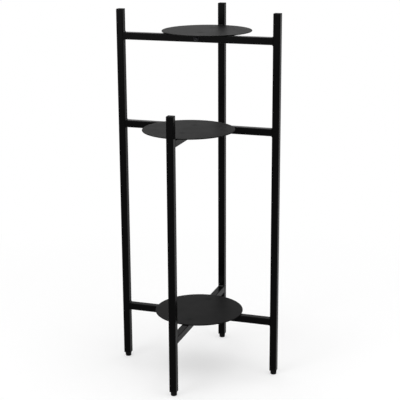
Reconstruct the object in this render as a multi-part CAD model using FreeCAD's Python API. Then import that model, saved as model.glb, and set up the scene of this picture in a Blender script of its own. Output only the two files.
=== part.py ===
import FreeCAD, Part
import math
import os

# Three-tier plant stand of square steel tube with three round plates, in millimetres, +Z up.
# The origin lies on the floor under the middle of the stand. X runs from the left leg to the
# right leg, Y from the short front leg to the back leg. A ladder frame (left leg, right leg and
# three rails) is crossed by a second frame (front leg, back leg, two struts and a bottom bar)
# that carries the plates. The two frames lap at the bottom and are bolted at all three levels.

# Square tube of the legs, rails, struts and bar
tube_width = 16.0
tube_wall = 1.2
tube_corner = 1.6
tube_bore = tube_width - 2 * tube_wall

# Layout of the stand: leg places, leg tops and the levels that the plates lie on. The top level
# hangs below the tall legs' tops, and the middle one below the top of the front leg.
leg_reach = 180.0
tall_height = 828.0
front_height = 630.0
top_drop = 51.5
middle_drop = 52.5
bottom_level = 136.5
top_level = tall_height - top_drop
middle_level = front_height - middle_drop
bar_reach = leg_reach - tube_width / 2

# Round plates, each set off towards the leg that its strut comes from
plate_diameter = 203.0
plate_thickness = 2.0
plate_edge = 0.4
plate_leg_gap = 4.5
plate_offset = bar_reach - plate_leg_gap - plate_diameter / 2

# Welds: beads where a bar meets a leg, and tacks where a strut carries a plate
bead_leg = 2.5
tack_leg = 2.5
tack_length = 14.0
tack_rail_gap = 8.0
strut_tack_inset = 58.5
bar_tack_inset = 32.5

# Bolts that join the two frames, with their washers, end plugs and welded nut
bolt_diameter = 6.0
bolt_clearance = 0.3
thread_clearance = 0.05
head_diameter = 10.5
head_height = 3.3
head_rim = 0.6
head_flat_diameter = 5.6
socket_width = 4.0
socket_depth = 2.0
washer_diameter = 12.0
washer_thickness = 1.6
plug_length = 12.0
plug_clearance = 0.1
plug_engagement = 8.0
cross_nut_height = 5.0
cross_nut_side_gap = 1.8
cross_tip_gap = 0.6
lap_clearance = 0.3

# Ribbed plastic stems that hold the caps and the foot inserts in the tube ends
fin_height = 0.6
fin_thickness = 1.0
fin_pitch = 3.0
fin_clearance = 0.05
cap_head = 2.0
cap_edge = 0.7
cap_fins = 4

# Levelling feet: a screw that turns in the foot insert's nut and in its own glide
foot_height = 9.8
foot_gap = 0.3
foot_travel = 8.0
insert_flange = 1.6
insert_fins = 6
nut_height = 5.0
nut_wall = 1.1
nut_clearance = 0.1
screw_diameter = 6.0
screw_chamfer = 0.7
screw_tail = 1.0
collar_diameter = 9.0
collar_height = 2.0
collar_clearance = 0.1
glide_diameter = 14.4
glide_foot_diameter = 13.6
glide_floor = 2.4
glide_edge = 1.6
glide_height = foot_height - foot_gap

cut_overrun = 1.0

V = FreeCAD.Vector
X, Y, Z = V(1, 0, 0), V(0, 1, 0), V(0, 0, 1)

legs = {
    "left": (V(-leg_reach, 0, 0), tall_height),
    "right": (V(leg_reach, 0, 0), tall_height),
    "back": (V(0, leg_reach, 0), tall_height),
    "front": (V(0, -leg_reach, 0), front_height),
}
levels = {"top": top_level, "middle": middle_level, "bottom": bottom_level}
nodes = {}


def placed(shape, start, direction=Z):
    """Turn a piece made along +Z to a direction and move its base to start."""
    shape.Placement = FreeCAD.Placement(start, FreeCAD.Rotation(Z, direction))
    return shape


def bar_axis(level):
    """Point on the stand's axis at the middle of a bar whose top face is at a level."""
    return Z * (level - tube_width / 2)


def square_block(width, length):
    """Square block along +Z."""
    return Part.makeBox(width, width, length, V(-width / 2, -width / 2, 0))


def tube_section(length):
    """Solid length of the tube's outer section along +Z, with rounded long edges."""
    bar = square_block(tube_width, length)
    return bar.makeFillet(tube_corner, [e for e in bar.Edges if e.Vertexes[0].Z != e.Vertexes[1].Z])


def square_tube(length):
    """Hollow square tube along +Z."""
    return tube_section(length).cut(square_block(tube_bore, length))


def box_between(corner, opposite):
    """Box between two opposite corners, given in any order."""
    box = FreeCAD.BoundBox(corner, corner)
    box.add(opposite)
    return Part.makeBox(box.XLength, box.YLength, box.ZLength, V(box.XMin, box.YMin, box.ZMin))


def turned(outline):
    """Solid of revolution about Z from a closed outline of (radius, height) points."""
    points = [V(radius, 0, height) for radius, height in outline]
    return Part.Face(Part.makePolygon(points + points[:1])).revolve(V(0, 0, 0), Z, 360)


def ribbed_stem(fins):
    """Plastic stem along +Z whose thin fins grip the inside of the tube."""
    stem = square_block(tube_bore - 2 * fin_height, fins * fin_pitch)
    for count in range(fins):
        fin = square_block(tube_bore - 2 * fin_clearance, fin_thickness)
        fin.translate(Z * (fin_pitch * (count + 1) - fin_thickness))
        stem = stem.fuse(fin)
    return stem.removeSplitter()


# Legs: plain lengths of tube between the foot insert's flange and the cap
leg_bottom = foot_height + insert_flange
for side, (place, height) in legs.items():
    nodes[side + "_leg"] = placed(square_tube(height - cap_head - leg_bottom), place + Z * leg_bottom)

# Leg caps: a thin square head with bevelled top edges on a ribbed stem
for side, (place, height) in legs.items():
    head = tube_section(cap_head)
    head = head.makeChamfer(cap_edge, [e for e in head.Edges if e.BoundBox.ZMin > cap_head / 2])
    cap = head.fuse(placed(ribbed_stem(cap_fins), V(0, 0, 0), -Z)).removeSplitter()
    nodes[side + "_leg_cap"] = placed(cap, place + Z * (height - cap_head))

# Rails of the ladder frame, butted between the left and right legs
for tier, level in levels.items():
    nodes[tier + "_rail"] = placed(square_tube(2 * bar_reach), bar_axis(level) - X * bar_reach, X)

# Struts of the crossing frame: the top one runs back from its rail, the middle one forward
strut_runs = {"top": Y, "middle": -Y}
strut_length = bar_reach - tube_width / 2
for tier, run in strut_runs.items():
    strut_start = bar_axis(levels[tier]) + run * (tube_width / 2)
    nodes[tier + "_strut"] = placed(square_tube(strut_length), strut_start, run)

# Steel plugs welded flush into the struts' inner ends and tapped for the bolts
tapped_hole = bolt_diameter / 2 + thread_clearance
for tier, run in strut_runs.items():
    plug = square_block(tube_bore - 2 * plug_clearance, plug_length)
    plug = plug.cut(Part.makeCylinder(tapped_hole, plug_length))
    nodes[tier + "_strut_plug"] = placed(plug, bar_axis(levels[tier]) + run * (tube_width / 2), run)

# Bottom bar of the crossing frame, lapped half over the bottom rail
bottom_axis = bar_axis(bottom_level)
bottom_bar = placed(square_tube(2 * bar_reach), bottom_axis - Y * bar_reach, Y)
lap_half = tube_width / 2 + lap_clearance
lap_side = tube_width / 2 + cut_overrun
rail_lap = box_between(
    bottom_axis - V(lap_half, lap_side, 0),
    bottom_axis + V(lap_half, lap_side, lap_side),
)
bar_lap = box_between(
    bottom_axis - V(lap_side, lap_half, lap_side),
    bottom_axis + V(lap_side, lap_half, 0),
)
nodes["bottom_rail"] = nodes["bottom_rail"].cut(rail_lap)
nodes["bottom_bar"] = bottom_bar.cut(bar_lap)

# Square nut welded under the bottom bar's top wall, over the lap
cross_nut = square_block(tube_bore - 2 * cross_nut_side_gap, cross_nut_height)
cross_nut = cross_nut.cut(Part.makeCylinder(tapped_hole, cross_nut_height))
nodes["cross_nut"] = placed(cross_nut, Z * (bottom_level - tube_wall - cross_nut_height))

# Holes for the bolts: across the top and middle rails, and up through the lapped pair
bolt_hole = bolt_diameter / 2 + bolt_clearance
drill_half = tube_width / 2 + cut_overrun
for node, level, run in (
    ("top_rail", top_level, Y),
    ("middle_rail", middle_level, Y),
    ("bottom_rail", bottom_level, Z),
    ("bottom_bar", bottom_level, Z),
):
    drill = Part.makeCylinder(bolt_hole, 2 * drill_half, bar_axis(level) - run * drill_half, run)
    nodes[node] = nodes[node].cut(drill)

# Bolts: domed heads with a hexagon socket, on the rails' free faces and under the lap
bolt_runs = {
    "top_strut_bolt": (top_level, Y, tube_width + plug_engagement),
    "middle_strut_bolt": (middle_level, -Y, tube_width + plug_engagement),
    "cross_bolt": (bottom_level, Z, tube_width - cross_tip_gap),
}


def domed_head():
    """Bolt head hanging below the origin: a short rim, a dome in two steps and a flat crown."""
    rim = head_diameter / 2
    crown = head_flat_diameter / 2
    dome_centre = (rim**2 - crown**2 + head_rim**2 - head_height**2) / (2 * (head_rim - head_height))
    dome_radius = math.hypot(rim, head_rim - dome_centre)
    brow = (rim + crown) / 2
    brow_depth = dome_centre + math.sqrt(dome_radius**2 - brow**2)
    return turned([
        (0, 0),
        (rim, 0),
        (rim, -head_rim),
        (brow, -brow_depth),
        (crown, -head_height),
        (0, -head_height),
    ])


def hexagon_socket():
    """Six-sided recess that opens at the crown of a bolt head."""
    corner = V(socket_width / math.sqrt(3), 0, -head_height)
    corners = [FreeCAD.Rotation(Z, 60 * step).multVec(corner) for step in range(7)]
    return Part.Face(Part.makePolygon(corners)).extrude(Z * socket_depth)


washers = []
for name, (level, run, reach) in bolt_runs.items():
    seat = bar_axis(level) - run * (tube_width / 2 + washer_thickness)
    shank = Part.makeCylinder(bolt_diameter / 2, washer_thickness + reach)
    nodes[name] = placed(domed_head().fuse(shank).removeSplitter().cut(hexagon_socket()), seat, run)
    washer = Part.makeCylinder(washer_diameter / 2, washer_thickness)
    washers.append(placed(washer.cut(Part.makeCylinder(bolt_hole, washer_thickness)), seat, run))
nodes["bolt_washers"] = Part.makeCompound(washers)

# Round plates of sheet steel with eased rims, laid on the rails, struts and bar
plate_places = {
    "top": V(0, plate_offset, top_level),
    "middle": V(0, -plate_offset, middle_level),
    "bottom": V(0, 0, bottom_level),
}
for tier, centre in plate_places.items():
    disc = Part.makeCylinder(plate_diameter / 2, plate_thickness)
    rims = [edge for edge in disc.Edges if edge.BoundBox.ZLength < plate_edge]
    nodes[tier + "_plate"] = placed(disc.makeChamfer(plate_edge, rims), centre)


def weld_bead(middle, run, out, up, length, leg):
    """Quarter-round bead along run, in the corner between the faces that look out and up."""
    rod = Part.makeCylinder(leg, length, middle - run * (length / 2), run)
    quarter = box_between(middle - run * length, middle + run * length + (out + up) * (2 * leg))
    return rod.common(quarter)


def end_beads(face_point, out, across):
    """The beads above and below a bar that leaves a leg's face at face_point."""
    rise = Z * (tube_width / 2)
    length = tube_width - 2 * tube_corner
    above = weld_bead(face_point + rise, across, out, Z, length, bead_leg)
    below = weld_bead(face_point - rise, across, out, -Z, length, bead_leg)
    return [above, below]


# Weld beads of the ladder frame, at both ends of its rails
ladder_beads = []
for level in levels.values():
    for out in (X, -X):
        ladder_beads += end_beads(bar_axis(level) - out * bar_reach, out, Y)
nodes["ladder_frame_welds"] = Part.makeCompound(ladder_beads)

# Weld beads of the crossing frame, where the struts and the bar meet the back and front legs
crossing_beads = []
for level, out in ((top_level, -Y), (middle_level, Y), (bottom_level, Y), (bottom_level, -Y)):
    crossing_beads += end_beads(bar_axis(level) - out * bar_reach, out, X)
nodes["crossing_frame_welds"] = Part.makeCompound(crossing_beads)

# Tack welds under the plates, in pairs on both sides of the strut or bar that carries them: on a
# strut one pair lies beside the rail and one inside the plate's rim, on the bar both by the rim
inner_tack = tube_width / 2 + tack_rail_gap + tack_length / 2
outer_tack = plate_offset + plate_diameter / 2 - strut_tack_inset
bar_tack = plate_diameter / 2 - bar_tack_inset
tack_places = {
    "top": (inner_tack, outer_tack),
    "middle": (-inner_tack, -outer_tack),
    "bottom": (-bar_tack, bar_tack),
}
plate_tacks = []
for tier, places in tack_places.items():
    for along in places:
        for out in (X, -X):
            corner = V(0, along, levels[tier]) + out * (tube_width / 2)
            plate_tacks.append(weld_bead(corner, Y, out, -Z, tack_length, tack_leg))
nodes["plate_tack_welds"] = Part.makeCompound(plate_tacks)

# Foot inserts: a ribbed stem over a square flange, bored for the screw, with a pocket for a nut
stem_length = insert_fins * fin_pitch
pocket_width = tube_bore - 2 * (fin_height + nut_wall)
screw_hole = screw_diameter / 2 + thread_clearance
nut_seat = leg_bottom + stem_length - nut_height
for side, (place, height) in legs.items():
    flange = tube_section(insert_flange)
    insert = flange.fuse(placed(ribbed_stem(insert_fins), Z * insert_flange)).removeSplitter()
    pocket = placed(square_block(pocket_width, nut_height + cut_overrun), Z * (nut_seat - foot_height))
    insert = insert.cut(Part.makeCylinder(screw_hole, insert_flange + stem_length)).cut(pocket)
    nodes[side + "_foot_insert"] = placed(insert, place + Z * foot_height)

# Square nuts pressed into the inserts' pockets, one over each foot
foot_nuts = []
for place, height in legs.values():
    nut = square_block(pocket_width - 2 * nut_clearance, nut_height)
    foot_nuts.append(placed(nut.cut(Part.makeCylinder(screw_hole, nut_height)), place + Z * nut_seat))
nodes["foot_nuts"] = Part.makeCompound(foot_nuts)

# Foot screws: a threaded stud with a collar that stays captive in the glide
collar_radius = collar_diameter / 2
collar_bottom = glide_floor + collar_clearance
collar_top = collar_bottom + collar_height
screw_radius = screw_diameter / 2
screw_top = nut_seat + nut_height + foot_travel + screw_tail
for side, (place, height) in legs.items():
    screw = turned([
        (0, collar_bottom),
        (collar_radius, collar_bottom),
        (collar_radius, collar_top),
        (screw_radius, collar_top),
        (screw_radius, screw_top - screw_chamfer),
        (screw_radius - screw_chamfer, screw_top),
        (0, screw_top),
    ])
    nodes[side + "_foot_screw"] = placed(screw, place)

# Foot glides: tapered plastic pads with rounded soles that snap over the screws' collars
sole_radius = glide_foot_diameter / 2 - glide_edge
edge_step = glide_edge * math.sin(math.radians(45))
for side, (place, height) in legs.items():
    glide = turned([
        (0, 0),
        (sole_radius, 0),
        (sole_radius + edge_step, glide_edge - edge_step),
        (sole_radius + glide_edge, glide_edge),
        (glide_diameter / 2, glide_height),
        (screw_hole, glide_height),
        (screw_hole, collar_top + collar_clearance),
        (collar_radius + collar_clearance, collar_top + collar_clearance),
        (collar_radius + collar_clearance, glide_floor),
        (0, glide_floor),
    ])
    nodes[side + "_foot_glide"] = placed(glide, place)

os.makedirs("parts", exist_ok=True)
for name, shape in nodes.items():
    shape.exportStep("parts/" + name + ".step")
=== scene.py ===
import math

import bpy
from mathutils import Matrix, Vector


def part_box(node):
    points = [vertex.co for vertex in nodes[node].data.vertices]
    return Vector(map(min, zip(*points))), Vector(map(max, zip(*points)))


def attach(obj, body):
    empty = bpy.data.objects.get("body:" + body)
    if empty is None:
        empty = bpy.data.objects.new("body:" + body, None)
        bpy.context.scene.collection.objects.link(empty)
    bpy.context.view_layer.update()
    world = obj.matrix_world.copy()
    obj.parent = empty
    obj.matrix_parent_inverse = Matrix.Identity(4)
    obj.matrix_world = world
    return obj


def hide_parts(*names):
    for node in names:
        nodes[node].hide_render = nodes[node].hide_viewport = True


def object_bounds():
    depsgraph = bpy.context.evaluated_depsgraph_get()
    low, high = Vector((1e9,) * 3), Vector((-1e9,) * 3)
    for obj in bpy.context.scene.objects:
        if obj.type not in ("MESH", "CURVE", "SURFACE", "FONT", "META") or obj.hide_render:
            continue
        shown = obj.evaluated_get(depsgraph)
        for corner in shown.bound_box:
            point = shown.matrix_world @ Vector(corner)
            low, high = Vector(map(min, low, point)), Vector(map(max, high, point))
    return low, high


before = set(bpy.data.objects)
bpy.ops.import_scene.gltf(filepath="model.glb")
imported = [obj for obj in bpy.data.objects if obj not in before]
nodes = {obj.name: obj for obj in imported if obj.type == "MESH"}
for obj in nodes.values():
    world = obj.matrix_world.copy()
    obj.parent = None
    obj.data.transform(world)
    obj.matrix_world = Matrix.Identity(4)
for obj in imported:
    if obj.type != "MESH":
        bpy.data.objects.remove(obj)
cad_low, cad_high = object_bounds()

# Tube frame
# The legs, rails, struts and bottom bar are square steel tube with rounded corners, welded into
# two flat frames. They are powder coated after welding: a thin satin black skin, baked on, whose
# surface has the faint ripple of an orange's peel.
sides = ("left", "right", "back", "front")
tiers = ("top", "middle", "bottom")
tubes = [side + "_leg" for side in sides] + [tier + "_rail" for tier in tiers]
tubes += ["top_strut", "middle_strut", "bottom_bar"]
coat_black = (0.0014, 0.0014, 0.0015, 1)
coat_soot = (0.0025, 0.0024, 0.0025, 1)
coat_gloss = 0.026
coat_roughness = (0.19, 0.25)
peel_size = 0.0016
peel_depth = 0.000012
cloud_size = 0.045
ripple_size = 0.03
ripple_depth = 0.00001
ripple_detail = 1.0
grain_detail = 3.0
grain_span = (0.35, 0.65)


def new_finish(name):
    """New material; gives it with its node graph and its surface shader."""
    finish = bpy.data.materials.new(name)
    finish.use_nodes = True
    return finish, finish.node_tree, finish.node_tree.nodes["Principled BSDF"]


def grain(graph, size, detail=grain_detail):
    """Noise in the piece's own coordinates, with features of about this size in metres."""
    place = graph.nodes.new("ShaderNodeTexCoord")
    noise = graph.nodes.new("ShaderNodeTexNoise")
    noise.inputs["Scale"].default_value = 1 / size
    noise.inputs["Detail"].default_value = detail
    graph.links.new(place.outputs["Object"], noise.inputs["Vector"])
    return noise.outputs["Fac"]


def vary_colour(graph, shader, value, dark, light):
    """Base colour that goes from dark to light with a noise value."""
    ramp = graph.nodes.new("ShaderNodeValToRGB")
    for stop, position, colour in zip(ramp.color_ramp.elements, grain_span, (dark, light)):
        stop.position = position
        stop.color = colour
    graph.links.new(value, ramp.inputs["Fac"])
    graph.links.new(ramp.outputs["Color"], shader.inputs["Base Color"])


def vary_roughness(graph, shader, value, span):
    """Roughness that goes across a span with a noise value."""
    spread = graph.nodes.new("ShaderNodeMapRange")
    for socket, limit in zip(("From Min", "From Max", "To Min", "To Max"), grain_span + span):
        spread.inputs[socket].default_value = limit
    graph.links.new(value, spread.inputs["Value"])
    graph.links.new(spread.outputs["Result"], shader.inputs["Roughness"])


def add_relief(graph, shader, layers):
    """Bumps of (noise value, depth in metres), laid one over the other."""
    under = None
    for value, depth in layers:
        bump = graph.nodes.new("ShaderNodeBump")
        bump.inputs["Distance"].default_value = depth
        graph.links.new(value, bump.inputs["Height"])
        if under:
            graph.links.new(under, bump.inputs["Normal"])
        under = bump.outputs["Normal"]
    graph.links.new(under, shader.inputs["Normal"])


def powder_coat(name, gloss, roughness):
    """Satin black powder coat with a fine peel and slow clouds in its sheen."""
    finish, graph, shader = new_finish(name)
    shader.inputs["Specular IOR Level"].default_value = gloss
    vary_colour(graph, shader, grain(graph, peel_size), coat_black, coat_soot)
    vary_roughness(graph, shader, grain(graph, cloud_size), roughness)
    layers = [
        (grain(graph, ripple_size, ripple_detail), ripple_depth),
        (grain(graph, peel_size), peel_depth),
    ]
    add_relief(graph, shader, layers)
    return finish


def dress(node, finish):
    """Give a CAD node's object one material all over."""
    for slot in nodes[node].material_slots:
        slot.material = finish


black_coat = powder_coat("satin_black_powder_coat", coat_gloss, coat_roughness)
for tube in tubes:
    dress(tube, black_coat)

# Weld beads
# Fillet welds lie above and below each bar where it butts against a leg. Each is a short row of
# overlapping puddles of steel, laid by hand along the seam. The powder flows smoother over them.
bead_leg = 0.0025
bead_side_gap = 0.0016
bead_sink = 0.00015
puddle_pitch = 0.0021
puddle_dip = 0.16
puddle_bow = 0.3
bead_steps = 44
bead_arc_points = 9
bead_end_share = 0.12
bead_sharp_angle = 60
sharp_angle = 35
bead_gloss = 0.25
bead_roughness = (0.25, 0.32)
X, Y, Z = Vector((1, 0, 0)), Vector((0, 1, 0)), Vector((0, 0, 1))


def new_piece(name, points, faces, finish, body="stand", sharp_from=sharp_angle):
    """Mesh piece in the stand's frame, smooth but for its sharp edges, riding on a body."""
    mesh = bpy.data.meshes.new(name)
    mesh.from_pydata([tuple(point) for point in points], [], faces)
    mesh.validate()
    mesh.shade_smooth()
    mesh.set_sharp_from_angle(angle=math.radians(sharp_from))
    mesh.materials.append(finish)
    piece = bpy.data.objects.new(name, mesh)
    bpy.context.scene.collection.objects.link(piece)
    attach(piece, body)
    return piece


def join_rings(rings, start=0):
    """Faces that skin a stack of rings of equal count, with both ends closed."""
    count = len(rings[0])
    faces = []
    for level in range(len(rings) - 1):
        base = start + level * count
        for i in range(count):
            j = (i + 1) % count
            faces.append((base + i, base + j, base + count + j, base + count + i))
    last = start + (len(rings) - 1) * count
    faces.append(tuple(range(start + count - 1, start - 1, -1)))
    faces.append(tuple(range(last, last + count)))
    return faces


def bead_rings(seam, along, out, up, length):
    """Sections of one bead whose puddles overlap along a seam, rounded off at both ends."""
    rings = []
    for step in range(bead_steps + 1):
        place = length * (step / bead_steps - 0.5)
        end_share = min(1, (length / 2 - abs(place)) / bead_leg)
        swell = math.sqrt(max(0, 1 - (1 - end_share) ** 2))
        ring = [seam + along * place - (out + up) * bead_sink]
        for point in range(bead_arc_points):
            turn = math.pi / 2 * point / (bead_arc_points - 1)
            phase = place / puddle_pitch + puddle_bow * math.sin(2 * turn)
            dip = puddle_dip * (1 - abs(math.cos(math.pi * phase)))
            reach = bead_leg * (bead_end_share + (1 - bead_end_share) * swell) * (1 - dip)
            arc = out * math.cos(turn) + up * math.sin(turn)
            ring.append(seam + along * place + arc * reach)
        rings.append(ring)
    return rings


def lay_beads(name, seams, length, replaced):
    """One piece of several beads; a seam is its middle, its run and its two open directions."""
    points, faces = [], []
    for seam, along, out, up in seams:
        rings = bead_rings(seam, along, out, up, length)
        if along.cross(out).dot(up) < 0:
            rings.reverse()
        faces += join_rings(rings, len(points))
        points += [point for ring in rings for point in ring]
    piece = new_piece(
        name, points, faces, bead_coat, sharp_from=bead_sharp_angle
    )
    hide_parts(replaced)


def bar_end_seams(bar, run, ends):
    """Seams above and below a bar at its ends; an end is +1 or -1 along the bar's run."""
    low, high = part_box(bar)
    middle = (low + high) / 2
    half = (high - low).dot(run) / 2
    across = Y if run == X else X
    seams = []
    for end in ends:
        face = middle + run * (half * end)
        seams.append((face + Z * (high.z - middle.z), across, run * -end, Z))
        seams.append((face + Z * (low.z - middle.z), across, run * -end, -Z))
    return seams


bead_coat = powder_coat("smooth_black_bead_coat", bead_gloss, bead_roughness)
leg_low, leg_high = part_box("left_leg")
tube_width = leg_high.x - leg_low.x
bead_length = tube_width - 2 * bead_side_gap
ladder_seams = [seam for tier in tiers for seam in bar_end_seams(tier + "_rail", X, (1, -1))]
lay_beads("ladder_frame_beads", ladder_seams, bead_length, "ladder_frame_welds")
crossing_seams = bar_end_seams("top_strut", Y, (1,)) + bar_end_seams("middle_strut", Y, (-1,))
crossing_seams += bar_end_seams("bottom_bar", Y, (1, -1))
lay_beads("crossing_frame_beads", crossing_seams, bead_length, "crossing_frame_welds")

# Plates
# Three round plates of 2 mm sheet steel, cut round with rolled rims and coated like the frame. They
# are tacked from below to the strut or bar that carries them, and the heat of each tack pulls a
# shallow dimple in the sheet; over each dimple the coat is rougher and a little darker.
plate_segments = 192
plate_ring_step = 0.0022
rim_round = 0.0009
rim_steps = 6
tack_length = 0.014
tack_rail_gap = 0.008
strut_tack_inset = 0.0585
bar_tack_inset = 0.0325
dimple_depth = 0.00002
dimple_radius = 0.0095
dimple_fall = 2.0
plate_gloss = 0.035
plate_roughness = (0.47, 0.50)
mark_dark_tone = (0.0011, 0.0011, 0.0012, 1)
mark_roughness = 0.08


def circle_ring(radius, height, count):
    """Ring of points about the upright axis."""
    turns = [2 * math.pi * i / count for i in range(count)]
    return [Vector((radius * math.cos(t), radius * math.sin(t), height)) for t in turns]


def dimple_share(point, marks):
    """How far into the nearest tack's dimple a point lies, from 0 outside to 1 at its middle."""
    nearest = min((Vector((point.x, point.y)) - mark).length for mark in marks)
    return math.exp(-((nearest / dimple_radius) ** 2) * dimple_fall)


def round_plate(tier, marks, finish):
    """Thin disc with a softened rim and dimples over its tacks."""
    low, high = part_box(tier + "_plate")
    middle = (low + high) / 2
    radius = (high.x - low.x) / 2
    flat = radius - rim_round
    last = round(flat / plate_ring_step)
    profile = [(flat * (n + 0.5) / (last + 0.5), high.z) for n in range(last + 1)]
    for step in range(1, rim_steps + 1):
        turn = math.pi / 2 * step / rim_steps
        drop = rim_round * (1 - math.cos(turn))
        profile.append((flat + rim_round * math.sin(turn), high.z - drop))
    for step in range(rim_steps + 1):
        turn = math.pi / 2 * step / rim_steps
        rise = rim_round * (1 - math.sin(turn))
        profile.append((flat + rim_round * math.cos(turn), low.z + rise))
    rings = [circle_ring(reach, height, plate_segments) for reach, height in reversed(profile)]
    points = [point + Vector((middle.x, middle.y, 0)) for ring in rings for point in ring]
    shares = [dimple_share(point, marks) if point.z == high.z else 0 for point in points]
    points = [point - Z * (dimple_depth * share) for point, share in zip(points, shares)]
    plate = new_piece(tier + "_round_plate", points, join_rings(rings), finish)
    mark_layer = plate.data.attributes.new("tack_mark", "FLOAT", "POINT")
    mark_layer.data.foreach_set("value", shares)
    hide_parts(tier + "_plate")


def marked_coat(name):
    """The powder coat, rougher and a little darker where the plate's tack marks lie."""
    finish = powder_coat(name, plate_gloss, plate_roughness)
    graph = finish.node_tree
    shader = graph.nodes["Principled BSDF"]
    mark = graph.nodes.new("ShaderNodeAttribute")
    mark.attribute_name = "tack_mark"
    tint = graph.nodes.new("ShaderNodeMix")
    tint.data_type = "RGBA"
    graph.links.new(mark.outputs["Fac"], tint.inputs["Factor"])
    graph.links.new(shader.inputs["Base Color"].links[0].from_socket, tint.inputs["A"])
    # The coat's colour goes a little darker towards the middle of each tack mark.
    tint.inputs["B"].default_value = mark_dark_tone
    graph.links.new(tint.outputs["Result"], shader.inputs["Base Color"])
    dulled = graph.nodes.new("ShaderNodeMath")
    dulled.operation = "MULTIPLY_ADD"
    dulled.inputs[1].default_value = mark_roughness
    graph.links.new(mark.outputs["Fac"], dulled.inputs[0])
    graph.links.new(shader.inputs["Roughness"].links[0].from_socket, dulled.inputs[2])
    graph.links.new(dulled.outputs["Value"], shader.inputs["Roughness"])
    return finish


rail_face = tube_width / 2
plate_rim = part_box("top_plate")[1].y
bar_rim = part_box("bottom_plate")[1].x
inner_tack = rail_face + tack_rail_gap + tack_length / 2
outer_tack = plate_rim - strut_tack_inset
bar_tack = bar_rim - bar_tack_inset
tack_places = {
    "top": (inner_tack, outer_tack),
    "middle": (-inner_tack, -outer_tack),
    "bottom": (-bar_tack, bar_tack),
}
plate_coat = marked_coat("satin_black_plate_coat")
for tier, places in tack_places.items():
    round_plate(tier, [Vector((0, place)) for place in places], plate_coat)

# Plate tacks
# Short fillet tacks under each plate, in pairs on both sides of the strut or bar, hold it down.
# They are laid like the other beads, before coating.
tack_seams = []
for tier, places in tack_places.items():
    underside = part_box(tier + "_plate")[0].z
    for place in places:
        for out in (X, -X):
            tack_seams.append((Vector((0, place, underside)) + out * rail_face, Y, out, -Z))
lay_beads("plate_tack_beads", tack_seams, tack_length, "plate_tack_welds")

# Frame bolts
# Three M6 button-head bolts with hexagon sockets, black oxide over steel, draw the two frames
# together: through the top and middle rails into tapped plugs in the struts, and up through the
# lapped pair at the bottom into a welded nut. Each has a plain washer under its head.
ring_count = 48
thread_pitch = 0.001
thread_depth = 0.00054
thread_steps = 32
thread_foot_share = 0.46
thread_crest_share = 0.07
thread_sink_share = 0.25
head_height = 0.0033
head_rim = 0.0006
head_crown_radius = 0.0028
head_arc_steps = 7
socket_width = 0.004
socket_depth = 0.002
bolt_radius = 0.003
tip_chamfer = 0.0006
oxide_black = (0.012, 0.012, 0.013, 1)
oxide_bloom = (0.022, 0.022, 0.024, 1)
oxide_roughness = (0.32, 0.48)
oxide_bloom_size = 0.0032
oxide_cloud_size = 0.008
oxide_grain = 0.0004
oxide_depth = 0.000005


def hexagon_ring(across, height):
    """Ring along a hexagon of this width across its flats."""
    ring = []
    for i in range(ring_count):
        turn = 2 * math.pi * i / ring_count
        off_flat = turn % (math.pi / 3) - math.pi / 6
        reach = across / 2 / math.cos(off_flat)
        ring.append(Vector((reach * math.cos(turn), reach * math.sin(turn), height)))
    return ring


def thread_ridge(low, high, crest, root, pitch):
    """Right-hand screw thread as a closed ridge wound round a core, fading out at both ends."""
    steps = round((high - low - pitch) / pitch * thread_steps)
    rings = []
    for step in range(steps + 1):
        turn = 2 * math.pi * step / thread_steps
        height = low + pitch / 2 + pitch * step / thread_steps
        fade = min(1, 2 * step / thread_steps, 2 * (steps - step) / thread_steps)
        peak = root + (crest - root) * fade
        sunk = root - thread_depth * thread_sink_share
        outline = (
            (sunk, -thread_foot_share),
            (peak, -thread_crest_share),
            (peak, thread_crest_share),
            (sunk, thread_foot_share),
        )
        spoke = Vector((math.cos(turn), math.sin(turn), 0))
        rings.append([spoke * reach + Z * (height + pitch * share) for reach, share in outline])
    return rings


def black_oxide(name):
    """Thin black oxide on steel: a dark metal with a faint bloom of oil."""
    finish, graph, shader = new_finish(name)
    shader.inputs["Metallic"].default_value = 1.0
    vary_colour(graph, shader, grain(graph, oxide_bloom_size), oxide_black, oxide_bloom)
    vary_roughness(graph, shader, grain(graph, oxide_cloud_size), oxide_roughness)
    add_relief(graph, shader, [(grain(graph, oxide_grain), oxide_depth)])
    return finish


def frame_bolt(node, run, finish):
    """Button-head bolt that points along run, with its head at the near end of the node's box."""
    low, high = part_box(node)
    middle = (low + high) / 2
    half = abs((high - low).dot(run)) / 2
    head_radius = sorted(high - low)[0] / 2
    seat = head_height
    tip = 2 * half
    core = bolt_radius - thread_depth
    drop = head_height - head_rim
    dome_centre = (head_radius**2 - head_crown_radius**2 - drop**2) / (2 * drop)
    dome_radius = math.hypot(head_radius, dome_centre)
    crown_turn = math.asin(head_crown_radius / dome_radius)
    rim_turn = math.asin(head_radius / dome_radius)
    rings = [circle_ring(bolt_radius - tip_chamfer, tip, ring_count)]
    rings.append(circle_ring(core, tip - tip_chamfer, ring_count))
    rings.append(circle_ring(core, seat, ring_count))
    rings.append(circle_ring(head_radius, seat, ring_count))
    for step in range(head_arc_steps + 1):
        turn = rim_turn + (crown_turn - rim_turn) * step / head_arc_steps
        height = seat - head_rim - (dome_radius * math.cos(turn) - dome_centre)
        rings.append(circle_ring(dome_radius * math.sin(turn), height, ring_count))
    rings.append(hexagon_ring(socket_width, 0))
    rings.append(hexagon_ring(socket_width, socket_depth))
    rings.reverse()
    ridge = thread_ridge(seat, tip - tip_chamfer, bolt_radius, core, thread_pitch)
    points = [point for ring in rings + ridge for point in ring]
    faces = join_rings(rings) + join_rings(ridge, len(rings) * ring_count)
    aim = Z.rotation_difference(run)
    near_end = middle - run * half
    points = [near_end + aim @ point for point in points]
    bolt = new_piece(node + "_threaded", points, faces, finish)
    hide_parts(node)


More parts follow.
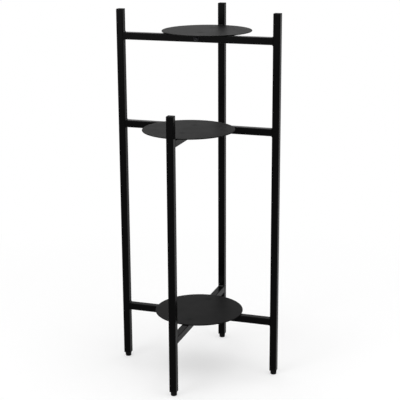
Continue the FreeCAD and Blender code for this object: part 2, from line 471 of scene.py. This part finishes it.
bolt_oxide = black_oxide("black_oxide_steel")
frame_bolt("top_strut_bolt", Y, bolt_oxide)
frame_bolt("middle_strut_bolt", -Y, bolt_oxide)
frame_bolt("cross_bolt", Z, bolt_oxide)
dress("bolt_washers", bolt_oxide)

# Strut plugs and nuts
# Tapped steel plugs close the struts' inner ends, a square nut sits in the bottom bar over the lap
# and one in each foot insert. They are bright zinc plated and stay out of sight inside the tubes.
zinc_pale = (0.66, 0.67, 0.69, 1)
zinc_dull = (0.52, 0.53, 0.55, 1)
zinc_roughness = (0.22, 0.40)
zinc_spangle = 0.0012
zinc_cloud_size = 0.0036
zinc_grain = 0.0003
zinc_depth = 0.000003


def zinc_plate(name):
    """Bright zinc plating with small dull clouds."""
    finish, graph, shader = new_finish(name)
    shader.inputs["Metallic"].default_value = 1.0
    vary_colour(graph, shader, grain(graph, zinc_spangle), zinc_dull, zinc_pale)
    vary_roughness(graph, shader, grain(graph, zinc_cloud_size), zinc_roughness)
    add_relief(graph, shader, [(grain(graph, zinc_grain), zinc_depth)])
    return finish


bright_zinc = zinc_plate("bright_zinc_plate")
for node in ("top_strut_plug", "middle_strut_plug", "cross_nut", "foot_nuts"):
    dress(node, bright_zinc)

# Leg caps
# Moulded black plastic caps close the tops of the legs: a thin square head, flush with the tube
# and rounded along its top edges, on a ribbed stem that is pushed into the tube.
cap_head = 0.002
cap_round = 0.0009
cap_round_steps = 4
cap_corner = 0.0016
cap_seam = 0.0002
cap_crown = 0.00012
cap_crown_width = tube_width / 2
stem_width = 0.0124
fin_width = 0.0135
fin_thickness = 0.001
fin_pitch = 0.003
fin_count = 4
stem_corner = 0.0004
plastic_black = (0.0026, 0.0026, 0.0027, 1)
plastic_grey = (0.0044, 0.0044, 0.0045, 1)
plastic_gloss = 0.05
plastic_roughness = (0.54, 0.62)
plastic_fleck_size = 0.003
plastic_cloud_size = 0.006
plastic_spark = 0.0005
plastic_depth = plastic_spark / 30


def moulded_plastic(name):
    """Matte black plastic with the fine spark-eroded grain of its mould."""
    finish, graph, shader = new_finish(name)
    shader.inputs["Specular IOR Level"].default_value = plastic_gloss
    vary_colour(graph, shader, grain(graph, plastic_fleck_size), plastic_black, plastic_grey)
    vary_roughness(graph, shader, grain(graph, plastic_cloud_size), plastic_roughness)
    add_relief(graph, shader, [(grain(graph, plastic_spark), plastic_depth)])
    return finish


def square_ring(width, corner, height):
    """Ring along a square with rounded corners."""
    ring = []
    per_corner = ring_count // 4
    inset = width / 2 - corner
    for i in range(ring_count):
        quarter = i // per_corner
        turn = math.pi / 2 * (quarter + (i % per_corner) / (per_corner - 1))
        across = math.pi / 2 * quarter + math.pi / 4
        heart = Vector((math.cos(across), math.sin(across), 0)) * (inset * math.sqrt(2))
        ring.append(heart + Vector((corner * math.cos(turn), corner * math.sin(turn), height)))
    return ring


def leg_cap(side, finish):
    """Cap with a rounded head over a finned stem."""
    low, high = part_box(side + "_leg_cap")
    foot = Vector(((low.x + high.x) / 2, (low.y + high.y) / 2, 0))
    seat = high.z - cap_head
    stem_bottom = seat - fin_pitch * fin_count
    rings = [square_ring(stem_width, stem_corner, stem_bottom)]
    for fin in range(fin_count):
        fin_low = stem_bottom + fin_pitch * fin
        rings.append(square_ring(fin_width, stem_corner, fin_low))
        rings.append(square_ring(fin_width, stem_corner, fin_low + fin_thickness))
        rings.append(square_ring(stem_width, stem_corner, fin_low + fin_thickness))
        rings.append(square_ring(stem_width, stem_corner, fin_low + fin_pitch))
    rings.append(square_ring(tube_width - 2 * cap_seam, cap_corner - cap_seam, seat))
    rings.append(square_ring(tube_width, cap_corner, seat + cap_seam))
    for step in range(cap_round_steps + 1):
        turn = math.pi / 2 * step / cap_round_steps
        draw = cap_round * (1 - math.cos(turn))
        height = high.z - cap_crown - cap_round * (1 - math.sin(turn))
        rings.append(square_ring(tube_width - 2 * draw, cap_corner - draw, height))
    rings.append(square_ring(cap_crown_width, cap_corner, high.z))
    points = [foot + point for ring in rings for point in ring]
    cap = new_piece(side + "_moulded_cap", points, join_rings(rings), finish)
    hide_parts(side + "_leg_cap")


black_plastic = moulded_plastic("moulded_black_plastic")
for side in sides:
    leg_cap(side, black_plastic)

# Levelling feet
# Each leg stands on a screw-in foot. A ribbed plastic insert in the tube's end holds a square nut,
# a zinc plated M6 stud turns in the nut, and a black plastic glide snaps over the stud's collar.
glide_bore_gap = 0.00005
glide_round = 0.0016
glide_lip = 0.0005
glide_sole_width = 0.0136
glide_round_steps = 6
glide_floor = 0.0024
collar_diameter = 0.009
collar_gap = 0.0001
collar_height = 0.002
stud_chamfer = 0.0007


def foot_centre(node):
    """Point on the floor under the middle of a foot's piece."""
    low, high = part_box(node)
    return Vector(((low.x + high.x) / 2, (low.y + high.y) / 2, 0))


def foot_glide(side, finish):
    """Tapered round pad with a rounded sole, a softened lip and the collar's pocket inside."""
    low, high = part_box(side + "_foot_glide")
    top_radius = (high.x - low.x) / 2
    sole_radius = glide_sole_width / 2
    bore = bolt_radius + glide_bore_gap
    pocket = collar_diameter / 2 + collar_gap
    pocket_top = glide_floor + collar_height + 2 * collar_gap
    profile = [(pocket, glide_floor), (pocket, pocket_top), (bore, pocket_top), (bore, high.z)]
    for step in range(glide_round_steps + 1):
        turn = math.pi / 2 * step / glide_round_steps
        reach = top_radius - glide_lip * (1 - math.sin(turn))
        profile.append((reach, high.z - glide_lip * (1 - math.cos(turn))))
    for step in range(glide_round_steps + 1):
        turn = math.pi / 2 * step / glide_round_steps
        reach = sole_radius - glide_round * (1 - math.cos(turn))
        profile.append((reach, low.z + glide_round * (1 - math.sin(turn))))
    rings = [circle_ring(reach, height, ring_count) for reach, height in reversed(profile)]
    centre = foot_centre(side + "_foot_glide")
    points = [centre + point for ring in rings for point in ring]
    skin = join_rings(rings)
    glide = new_piece(side + "_glide", points, skin, finish, side + "_foot")
    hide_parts(side + "_foot_glide")


def foot_screw(side, finish):
    """Threaded stud with a round collar at its lower end."""
    low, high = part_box(side + "_foot_screw")
    root = bolt_radius - thread_depth
    collar_top = low.z + collar_height
    profile = [
        (collar_diameter / 2, low.z),
        (collar_diameter / 2, collar_top),
        (root, collar_top),
        (root, high.z - stud_chamfer),
        (root - stud_chamfer, high.z),
    ]
    rings = [circle_ring(reach, height, ring_count) for reach, height in profile]
    ridge = thread_ridge(collar_top, high.z - stud_chamfer, bolt_radius, root, thread_pitch)
    points = [point for ring in rings + ridge for point in ring]
    centre = foot_centre(side + "_foot_screw")
    points = [centre + point for point in points]
    faces = join_rings(rings) + join_rings(ridge, len(rings) * ring_count)
    screw = new_piece(side + "_stud", points, faces, finish, side + "_screw")
    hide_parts(side + "_foot_screw")


for side in sides:
    dress(side + "_foot_insert", black_plastic)
    foot_glide(side, black_plastic)
    foot_screw(side, bright_zinc)

# Studio
# A plain white floor that fades into a white surround, under a wide soft light overhead and two
# smaller ones, from the right and from the front left. Camera and mirror rays see the surround
# as plain white.
floor_radius = 6.0
floor_points = 96
floor_white = (0.93, 0.93, 0.93, 1)
floor_roughness = 0.9
floor_fade_radius = 0.4
floor_clear_radius = 1.2
floor_glow_share = 0.5
surround_white = (1, 1, 1, 1)
surround_light = 0.45
overhead_size = 3.2
overhead_height = 3.0
overhead_power = 62.0
side_size = 1.6
side_place = Vector((2.2, -0.4, 1.4))
side_power = 14.0
front_size = 1.6
front_place = Vector((-1.3, -2.7, 1.15))
front_power = 30.0


def plainly_seen(graph):
    """1 for the rays that see the background itself: camera, mirror and see-through rays."""
    path = graph.nodes.new("ShaderNodeLightPath")
    seen = path.outputs["Is Camera Ray"]
    for ray in ("Is Glossy Ray", "Is Transmission Ray"):
        either = graph.nodes.new("ShaderNodeMath")
        either.operation = "MAXIMUM"
        graph.links.new(seen, either.inputs[0])
        graph.links.new(path.outputs[ray], either.inputs[1])
        seen = either.outputs["Value"]
    return seen


def studio_floor():
    """Round floor that takes shadows near the stand and fades to white further out."""
    edge = circle_ring(floor_radius, 0, floor_points)
    mesh = bpy.data.meshes.new("floor")
    mesh.from_pydata([tuple(point) for point in edge], [], [tuple(range(floor_points))])
    floor = bpy.data.objects.new("floor", mesh)
    bpy.context.scene.collection.objects.link(floor)
    finish, graph, shader = new_finish("white_floor")
    shader.inputs["Base Color"].default_value = floor_white
    shader.inputs["Roughness"].default_value = floor_roughness
    shader.inputs["Specular IOR Level"].default_value = 0.0
    place = graph.nodes.new("ShaderNodeTexCoord")
    reach = graph.nodes.new("ShaderNodeVectorMath")
    reach.operation = "LENGTH"
    fade = graph.nodes.new("ShaderNodeMapRange")
    fade.interpolation_type = "SMOOTHSTEP"
    fade.inputs["From Min"].default_value = floor_fade_radius
    fade.inputs["From Max"].default_value = floor_clear_radius
    fade.inputs["To Min"].default_value = floor_glow_share
    share = graph.nodes.new("ShaderNodeMath")
    share.operation = "MULTIPLY"
    glow = graph.nodes.new("ShaderNodeEmission")
    blend = graph.nodes.new("ShaderNodeMixShader")
    graph.links.new(place.outputs["Object"], reach.inputs[0])
    graph.links.new(reach.outputs["Value"], fade.inputs["Value"])
    graph.links.new(fade.outputs["Result"], share.inputs[0])
    graph.links.new(plainly_seen(graph), share.inputs[1])
    graph.links.new(share.outputs["Value"], blend.inputs["Fac"])
    graph.links.new(shader.outputs["BSDF"], blend.inputs[1])
    graph.links.new(glow.outputs["Emission"], blend.inputs[2])
    graph.links.new(blend.outputs["Shader"], graph.nodes["Material Output"].inputs["Surface"])
    mesh.materials.append(finish)


def studio_surround():
    """White to camera and mirror rays, a soft grey fill to everything else."""
    world = bpy.data.worlds.new("studio")
    bpy.context.scene.world = world
    world.use_nodes = True
    graph = world.node_tree
    fill = graph.nodes["Background"]
    fill.inputs["Color"].default_value = surround_white
    fill.inputs["Strength"].default_value = surround_light
    white = graph.nodes.new("ShaderNodeBackground")
    white.inputs["Color"].default_value = surround_white
    white.inputs["Strength"].default_value = 1.0
    blend = graph.nodes.new("ShaderNodeMixShader")
    graph.links.new(plainly_seen(graph), blend.inputs["Fac"])
    graph.links.new(fill.outputs["Background"], blend.inputs[1])
    graph.links.new(white.outputs["Background"], blend.inputs[2])
    graph.links.new(blend.outputs["Shader"], graph.nodes["World Output"].inputs["Surface"])


def soft_light(name, place, aim, size, power):
    """Square soft box at a place, turned to face a point."""
    lamp = bpy.data.lights.new(name, "AREA")
    lamp.size = size
    lamp.energy = power
    box = bpy.data.objects.new(name, lamp)
    box.location = place
    box.rotation_euler = (aim - place).to_track_quat("-Z", "Y").to_euler()
    bpy.context.scene.collection.objects.link(box)


stand_middle = (cad_low + cad_high) / 2
studio_floor()
studio_surround()
overhead_place = Z * overhead_height
soft_light("overhead_light", overhead_place, stand_middle, overhead_size, overhead_power)
soft_light("side_light", side_place, stand_middle, side_size, side_power)
soft_light("front_light", front_place, stand_middle, front_size, front_power)
bpy.context.scene.view_settings.view_transform = "Standard"

# Camera
# A long lens a little over two and a half metres away, to the right of the stand's front and
# higher than its top plate, as in the photograph.
camera_yaw = math.radians(18.450)
camera_pitch = math.radians(15.414)
camera_roll = math.radians(-0.328)
camera_distance = 2.6331
camera_aim = Vector((0, 0, 0.39))
camera_drift = (0.0033, 0.0114)
camera_lens = 104.31
film_width = 36.0

camera = bpy.data.cameras.new("camera")
camera.lens = camera_lens
camera.sensor_width = film_width
viewer = bpy.data.objects.new("camera", camera)
bpy.context.scene.collection.objects.link(viewer)
level_back = X * math.sin(camera_yaw) - Y * math.cos(camera_yaw)
backward = level_back * math.cos(camera_pitch) + Z * math.sin(camera_pitch)
rightward = X * math.cos(camera_yaw) + Y * math.sin(camera_yaw)
upward = backward.cross(rightward)
tilted_right = rightward * math.cos(camera_roll) + upward * math.sin(camera_roll)
tilted_up = upward * math.cos(camera_roll) - rightward * math.sin(camera_roll)
aim = camera_aim + tilted_right * camera_drift[0] + tilted_up * camera_drift[1]
turn = Matrix((tilted_right, tilted_up, backward)).transposed()
viewer.matrix_world = Matrix.Translation(aim + backward * camera_distance) @ turn.to_4x4()
bpy.context.scene.camera = viewer
